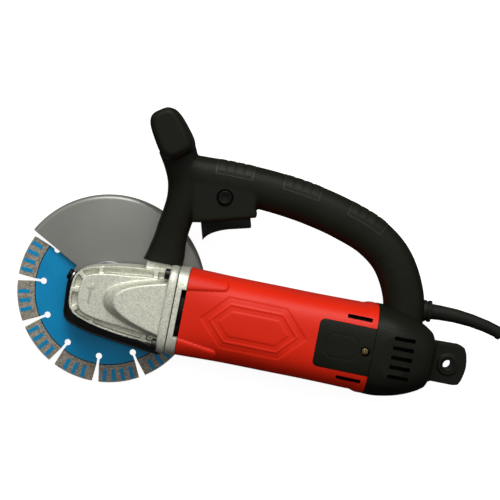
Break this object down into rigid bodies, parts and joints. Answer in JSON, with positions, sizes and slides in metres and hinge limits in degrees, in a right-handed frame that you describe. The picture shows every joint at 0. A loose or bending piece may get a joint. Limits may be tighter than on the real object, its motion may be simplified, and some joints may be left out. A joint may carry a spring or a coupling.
{
  "type": "two-handed disc cutter",
  "caption": "Two-handed corded disc cutter: cast gear head with half-round guard and segmented disc, barrel motor housing, loop handle with trigger and cross grip, tail eye and mains lead.",
  "frame": {"origin": "under the middle of the box that the machine fills, without its lead, as it lies on its disc side", "axes": "+X runs back along the motor from the gear head to the tail eye, +Y points up the handle, +Z is the side with the lock button, away from the disc"},
  "size_m": [0.6754, 0.28, 0.104],
  "materials": {
    "cast_aluminium": "sand-cast, lightly blasted",
    "black_steel": "black oxide and black paint",
    "bright_steel": "ground and turned",
    "guard_grey": "satin grey paint on pressed steel",
    "disc_blue": "semi-gloss blue paint",
    "diamond_segment": "sintered metal with diamond grit",
    "red_plastic": "fine satin moulding",
    "black_plastic": "fine spark-eroded moulding texture",
    "rubber": "smooth cable rubber",
    "copper": "enamelled copper and brass",
    "carbon": "pressed carbon"
  },
  "bodies": {
    "machine": {"gear_case": "cast_aluminium", "intermediate_plate": "cast_aluminium", "base_plate": "black_steel", "flange_screw_1": "black_steel", "flange_screw_2": "black_steel", "flange_screw_3": "black_steel", "flange_screw_4": "black_steel", "spindle_bearing_lower": "bright_steel", "spindle_bearing_upper": "bright_steel", "front_bearing": "bright_steel", "rear_bearing": "bright_steel", "stator_core": "bright_steel", "field_winding_upper": "copper", "field_winding_lower": "copper", "air_baffle": "black_plastic", "motor_housing": "red_plastic", "brush_holder_near": "copper", "carbon_brush_near": "carbon", "brush_cover_near": "black_plastic", "cover_screw_near": "black_steel", "brush_holder_far": "copper", "carbon_brush_far": "carbon", "brush_cover_far": "black_plastic", "cover_screw_far": "black_steel", "rear_cap": "black_plastic", "tail_lug": "black_plastic", "lug_bush": "black_steel", "handle_near_shell": "black_plastic", "handle_far_shell": "black_plastic", "handle_screw_1": "black_steel", "handle_screw_2": "black_steel", "handle_screw_3": "black_steel", "handle_screw_4": "black_steel", "foot_bolt_1": "black_steel", "foot_bolt_2": "black_steel", "switch_body": "black_plastic", "strain_relief": "rubber", "cord": "rubber", "cord_tail": "rubber", "cord_coil": "rubber", "plug": "rubber", "plug_pin_1": "bright_steel", "plug_pin_2": "bright_steel"},
    "spindle_set": {"spindle": "bright_steel", "crown_gear": "bright_steel", "inner_flange": "bright_steel", "cutting_disc": "disc_blue", "flange_nut": "bright_steel"},
    "armature": {"armature_shaft": "bright_steel", "armature_core": "bright_steel", "commutator": "copper", "cooling_fan": "black_plastic", "pinion_gear": "bright_steel"},
    "guard_set": {"guard": "guard_grey", "guard_clamp_band": "bright_steel", "guard_clamp_screw": "black_steel"},
    "trigger": {"trigger": "black_plastic"},
    "lock_button": {"lock_button": "black_plastic"},
    "spindle_lock": {"spindle_lock_button": "black_plastic"}
  },
  "joints": [
    {"name": "spindle_spin", "type": "hinge", "parent": "machine", "child": "spindle_set", "pos_m": [-0.13045, -0.04855, 0.052], "axis": [0, 0, 1], "continuous": true},
    {"name": "armature_spin", "type": "hinge", "parent": "machine", "child": "armature", "pos_m": [-0.13045, -0.04855, 0.052], "axis": [1, 0, 0], "continuous": true},
    {"name": "guard_turn", "type": "hinge", "parent": "machine", "child": "guard_set", "pos_m": [-0.13045, -0.04855, 0.052], "axis": [0, 0, 1], "range_deg": [-40, 70]},
    {"name": "trigger_pull", "type": "slide", "parent": "machine", "child": "trigger", "axis": [-0.2767, 0.961, 0], "range_m": [0, 0.006], "stiffness_N_per_m": 800, "springref_m": -0.003},
    {"name": "lock_button_press", "type": "slide", "parent": "machine", "child": "lock_button", "axis": [0, 0, -1], "range_m": [0, 0.0025], "stiffness_N_per_m": 400, "springref_m": -0.002},
    {"name": "spindle_lock_press", "type": "slide", "parent": "machine", "child": "spindle_lock", "axis": [0.9563, -0.2924, 0], "range_m": [0, 0.004], "stiffness_N_per_m": 800, "springref_m": -0.003}
  ],
  "couplings": [
    {"joint": "armature_spin", "follows": "spindle_spin", "ratio": 3.4444}
  ]
}
